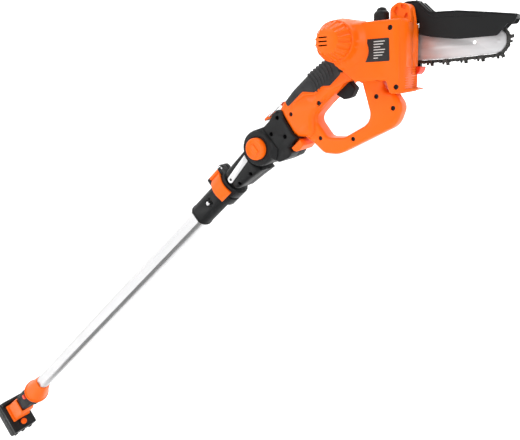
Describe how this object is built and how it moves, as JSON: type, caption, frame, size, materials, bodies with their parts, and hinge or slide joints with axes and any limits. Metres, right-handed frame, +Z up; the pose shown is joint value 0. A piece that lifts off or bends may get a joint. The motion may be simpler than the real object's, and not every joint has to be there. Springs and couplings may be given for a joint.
{
  "type": "telescoping pole saw",
  "caption": "Battery chainsaw head on a tilting knuckle, latched to a two-stage aluminium pole with cam clamp, rear grip and slide-on battery.",
  "frame": {"origin": "on the axis of the lower tube where the front hand holds it", "axes": "+Z up as held; +X along the guide bar towards its nose; the pole rises towards +X at 40.6 degrees in the XZ plane; the motor is on the -Y side and the bar on the +Y side"},
  "size_m": [1.4325, 0.124, 1.1402],
  "materials": {
    "anodised_tube": "satin anodised, drawn along the tube",
    "orange_shell": "semi-gloss moulded nylon",
    "red_orange": "semi-gloss moulded nylon",
    "black_moulding": "fine spark-eroded texture",
    "black_grip": "matte, fine texture",
    "soft_rubber": "soft overmould with raised ribs",
    "bright_steel": "bright zinc plate",
    "bar_steel": "ground plate",
    "chain_steel": "dark oiled steel",
    "dark_screws": "blackened",
    "motor_steel": "plated",
    "tank_plastic": "translucent white",
    "cell_wrap": "shrink wrap"
  },
  "bodies": {
    "pole": {"lower_tube": "anodised_tube", "hand_guard_collar": "orange_shell", "rear_grip_near": "black_grip", "rear_grip_far": "black_grip", "rear_grip_screws": "dark_screws", "pole_switch": "black_moulding", "battery_seat": "orange_shell", "battery_case": "black_moulding", "battery_lid": "black_moulding", "battery_cells": "cell_wrap", "coupling_sleeve": "black_moulding", "snap_spring": "bright_steel", "clamp_band": "black_moulding", "clamp_bolt": "bright_steel", "guide_bush": "black_moulding", "cam_pin": "bright_steel"},
    "pole_trigger": {"pole_trigger": "black_grip"},
    "pole_lock": {"pole_lock_button": "red_orange"},
    "battery_release": {"battery_button": "orange_shell"},
    "snap": {"snap_button": "bright_steel"},
    "cam": {"cam_lever": "orange_shell"},
    "upper_pole": {"inner_tube": "anodised_tube", "inner_end_plug": "black_moulding", "joint_housing_near": "black_moulding", "joint_housing_far": "black_moulding", "side_strip": "anodised_tube", "joint_screws": "dark_screws"},
    "head": {"adapter_near": "black_moulding", "adapter_far": "black_moulding", "pivot_bolt": "bright_steel", "head_screws": "dark_screws", "latch_pin": "bright_steel", "latch_keeper": "orange_shell", "saw_casing_near": "orange_shell", "saw_casing_far": "orange_shell", "rubber_grip": "soft_rubber", "motor_cap": "orange_shell", "motor_can": "motor_steel", "spindle_bearings": "bright_steel", "saw_switch": "black_moulding", "oil_tank": "tank_plastic", "guide_bar": "bar_steel", "saw_chain": "chain_steel", "bar_stud_and_nut": "bright_steel", "sprocket_cover": "black_moulding", "chain_catcher": "red_orange", "guard_pin": "bright_steel"},
    "knob": {"knuckle_knob": "orange_shell", "lock_ring": "bright_steel"},
    "adapter_release": {"release_button": "orange_shell"},
    "latch": {"latch_lever": "orange_shell"},
    "bail": {"latch_bail": "bright_steel"},
    "trigger": {"saw_trigger": "black_grip"},
    "lock_off": {"lock_off_button": "black_grip"},
    "rotor": {"motor_rotor": "bright_steel"},
    "spindle": {"drive_gear": "bright_steel", "drive_sprocket": "bright_steel"},
    "nose_wheel": {"nose_sprocket": "bright_steel"},
    "cap": {"oil_cap": "black_moulding"},
    "guard": {"chain_guard": "black_moulding"}
  },
  "joints": [
    {"name": "telescope", "type": "slide", "parent": "pole", "child": "upper_pole", "axis": [0.7593, 0, 0.6508], "range_m": [0, 0.6]},
    {"name": "knuckle", "type": "hinge", "parent": "upper_pole", "child": "head", "pos_m": [0.48593, 0, 0.4165], "axis": [0, 1, 0], "range_deg": [-45, 45]},
    {"name": "knob_press", "type": "slide", "parent": "head", "child": "knob", "axis": [0, 1, 0], "range_m": [0, 0.004], "stiffness_N_per_m": 900, "springref_m": -0.003},
    {"name": "cam_open", "type": "hinge", "parent": "pole", "child": "cam", "pos_m": [0.38088, -0.013, 0.36465], "axis": [0.7593, 0, 0.6508], "range_deg": [-110, 0]},
    {"name": "snap_press", "type": "slide", "parent": "pole", "child": "snap", "axis": [0, 1, 0], "range_m": [0, 0.003], "stiffness_N_per_m": 1200, "springref_m": -0.002},
    {"name": "pole_trigger_pull", "type": "slide", "parent": "pole", "child": "pole_trigger", "axis": [-0.6508, 0, 0.7593], "range_m": [0, 0.005], "stiffness_N_per_m": 900, "springref_m": -0.003},
    {"name": "pole_lock_press", "type": "slide", "parent": "pole", "child": "pole_lock", "axis": [0, 1, 0], "range_m": [0, 0.003], "stiffness_N_per_m": 800, "springref_m": -0.002},
    {"name": "battery_release_press", "type": "slide", "parent": "pole", "child": "battery_release", "axis": [-0.7593, 0, -0.6508], "range_m": [0, 0.003], "stiffness_N_per_m": 800, "springref_m": -0.002},
    {"name": "adapter_release_press", "type": "slide", "parent": "head", "child": "adapter_release", "axis": [-0.6508, 0, 0.7593], "range_m": [0, 0.003], "stiffness_N_per_m": 800, "springref_m": -0.002},
    {"name": "latch_open", "type": "hinge", "parent": "head", "child": "latch", "pos_m": [0.5073, 0, 0.4684], "axis": [0, 1, 0], "range_deg": [0, 100]},
    {"name": "bail_swing", "type": "hinge", "parent": "latch", "child": "bail", "pos_m": [0.49928, 0, 0.46547], "axis": [0, 1, 0], "range_deg": [-120, 0]},
    {"name": "trigger_pull", "type": "slide", "parent": "head", "child": "trigger", "axis": [-0.6508, 0, 0.7593], "range_m": [0, 0.006], "stiffness_N_per_m": 900, "springref_m": -0.003},
    {"name": "lock_off_press", "type": "slide", "parent": "head", "child": "lock_off", "axis": [0, 1, 0], "range_m": [0, 0.004], "stiffness_N_per_m": 800, "springref_m": -0.002},
    {"name": "spindle_turn", "type": "hinge", "parent": "head", "child": "spindle", "pos_m": [0.68093, 0, 0.55349], "axis": [0, 1, 0], "continuous": true},
    {"name": "motor_turn", "type": "hinge", "parent": "head", "child": "rotor", "pos_m": [0.63893, 0, 0.56649], "axis": [0, 1, 0], "continuous": true},
    {"name": "nose_turn", "type": "hinge", "parent": "head", "child": "nose_wheel", "pos_m": [0.81893, 0.028, 0.55449], "axis": [0, 1, 0], "continuous": true},
    {"name": "oil_cap_turn", "type": "hinge", "parent": "head", "child": "cap", "pos_m": [0.68093, 0, 0.58849], "axis": [0, 0, 1], "range_deg": [0, 90]},
    {"name": "guard_swing", "type": "hinge", "parent": "head", "child": "guard", "pos_m": [0.71193, 0.028, 0.59649], "axis": [0, 1, 0], "range_deg": [-95, 0]}
  ],
  "couplings": [
    {"joint": "motor_turn", "follows": "spindle_turn", "ratio": -2.25},
    {"joint": "nose_turn", "follows": "spindle_turn", "ratio": 0.7},
    {"joint": "bail_swing", "follows": "latch_open", "ratio": -1.2}
  ]
}
